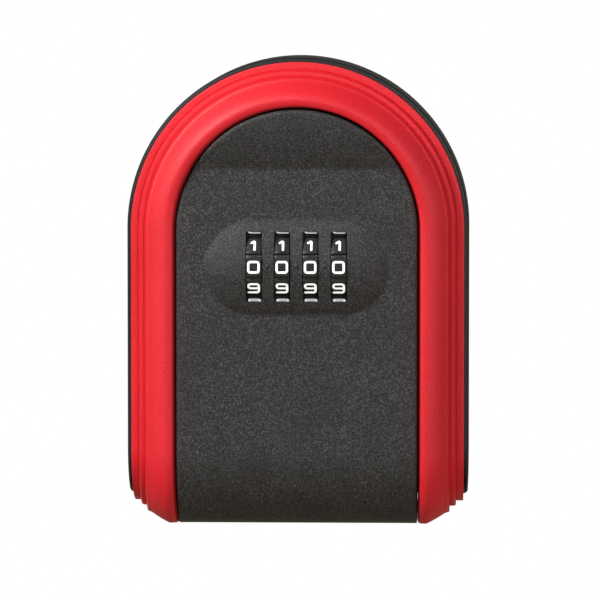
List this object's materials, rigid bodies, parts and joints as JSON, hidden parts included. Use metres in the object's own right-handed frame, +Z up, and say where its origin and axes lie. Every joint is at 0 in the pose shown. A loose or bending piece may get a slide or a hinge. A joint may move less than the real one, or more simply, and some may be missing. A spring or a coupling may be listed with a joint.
{
  "type": "key lock box",
  "caption": "Wall-mounted key box with an arched stepped frame, a drop-down front door and a combination lock on the door.",
  "frame": {"origin": "centre of the back face that rests on the wall, midway between the case's sides and between its top and bottom", "axes": "+Y into the wall, +Z up, +X to the right as seen from the front"},
  "size_m": [0.085, 0.0364, 0.1164],
  "materials": {
    "black_plastic": "fine grain, satin",
    "panel_black": "fine sparkling grain, satin",
    "red_plastic": "fine grain, satin",
    "wheel_black": "smooth, with white printed digits",
    "seal_rubber": "matt",
    "zinc_plated_steel": "zinc plated",
    "spring_steel": "bright",
    "brass": "turned",
    "lever_red": "satin"
  },
  "bodies": {
    "case": {"frame_screw_1": "zinc_plated_steel", "frame_screw_2": "zinc_plated_steel", "frame_screw_3": "zinc_plated_steel", "frame_screw_4": "zinc_plated_steel", "hinge_pin": "zinc_plated_steel", "hook_screw_1": "zinc_plated_steel", "keeper_plate": "zinc_plated_steel", "keeper_screw_1": "zinc_plated_steel", "keeper_screw_2": "zinc_plated_steel", "key_hook": "zinc_plated_steel", "rear_shell": "black_plastic", "red_frame": "red_plastic"},
    "door": {"cover_screw_1": "zinc_plated_steel", "cover_screw_2": "zinc_plated_steel", "cover_screw_3": "zinc_plated_steel", "cover_screw_4": "zinc_plated_steel", "detent_rivet_1": "brass", "detent_rivet_2": "brass", "detent_spring": "spring_steel", "door_panel": "panel_black", "door_seal": "seal_rubber", "lock_cover": "black_plastic", "lock_plate": "zinc_plated_steel", "lock_screw_1": "zinc_plated_steel", "lock_screw_2": "zinc_plated_steel", "lock_screw_3": "zinc_plated_steel", "lock_screw_4": "zinc_plated_steel", "reset_spring": "spring_steel"},
    "carriage": {"reset_lever": "lever_red", "spindle": "zinc_plated_steel", "spindle_clip": "spring_steel"},
    "bolt": {"bolt_bar": "zinc_plated_steel", "tab_rivet_1": "zinc_plated_steel", "tab_rivet_2": "zinc_plated_steel", "thumb_tab": "black_plastic"},
    "wheel_1": {"number_wheel_1": "wheel_black"},
    "sleeve_1": {"code_sleeve_1": "brass"},
    "wheel_2": {"number_wheel_2": "wheel_black"},
    "sleeve_2": {"code_sleeve_2": "brass"},
    "wheel_3": {"number_wheel_3": "wheel_black"},
    "sleeve_3": {"code_sleeve_3": "brass"},
    "wheel_4": {"number_wheel_4": "wheel_black"},
    "sleeve_4": {"code_sleeve_4": "brass"}
  },
  "joints": [
    {"name": "door_hinge", "type": "hinge", "parent": "case", "child": "door", "pos_m": [0, -0.0085, -0.05485], "axis": [1, 0, 0], "range_deg": [0, 105]},
    {"name": "bolt_slide", "type": "slide", "parent": "door", "child": "bolt", "axis": [0, 0, 1], "range_m": [0, 0.004]},
    {"name": "reset_slide", "type": "slide", "parent": "door", "child": "carriage", "axis": [1, 0, 0], "range_m": [-0.0016, 0], "stiffness_N_per_m": 400, "deforming": ["reset_spring"]},
    {"name": "wheel_1_turn", "type": "hinge", "parent": "door", "child": "wheel_1", "pos_m": [-0.0105, -0.0271, 0.00675], "axis": [1, 0, 0], "continuous": true},
    {"name": "sleeve_1_turn", "type": "hinge", "parent": "carriage", "child": "sleeve_1", "pos_m": [-0.0105, -0.0271, 0.00675], "axis": [1, 0, 0], "continuous": true},
    {"name": "wheel_2_turn", "type": "hinge", "parent": "door", "child": "wheel_2", "pos_m": [-0.0035, -0.0271, 0.00675], "axis": [1, 0, 0], "continuous": true},
    {"name": "sleeve_2_turn", "type": "hinge", "parent": "carriage", "child": "sleeve_2", "pos_m": [-0.0035, -0.0271, 0.00675], "axis": [1, 0, 0], "continuous": true},
    {"name": "wheel_3_turn", "type": "hinge", "parent": "door", "child": "wheel_3", "pos_m": [0.0035, -0.0271, 0.00675], "axis": [1, 0, 0], "continuous": true},
    {"name": "sleeve_3_turn", "type": "hinge", "parent": "carriage", "child": "sleeve_3", "pos_m": [0.0035, -0.0271, 0.00675], "axis": [1, 0, 0], "continuous": true},
    {"name": "wheel_4_turn", "type": "hinge", "parent": "door", "child": "wheel_4", "pos_m": [0.0105, -0.0271, 0.00675], "axis": [1, 0, 0], "continuous": true},
    {"name": "sleeve_4_turn", "type": "hinge", "parent": "carriage", "child": "sleeve_4", "pos_m": [0.0105, -0.0271, 0.00675], "axis": [1, 0, 0], "continuous": true}
  ],
  "couplings": [
    {"joint": "sleeve_1_turn", "follows": "wheel_1_turn", "ratio": 1},
    {"joint": "sleeve_2_turn", "follows": "wheel_2_turn", "ratio": 1},
    {"joint": "sleeve_3_turn", "follows": "wheel_3_turn", "ratio": 1},
    {"joint": "sleeve_4_turn", "follows": "wheel_4_turn", "ratio": 1}
  ]
}
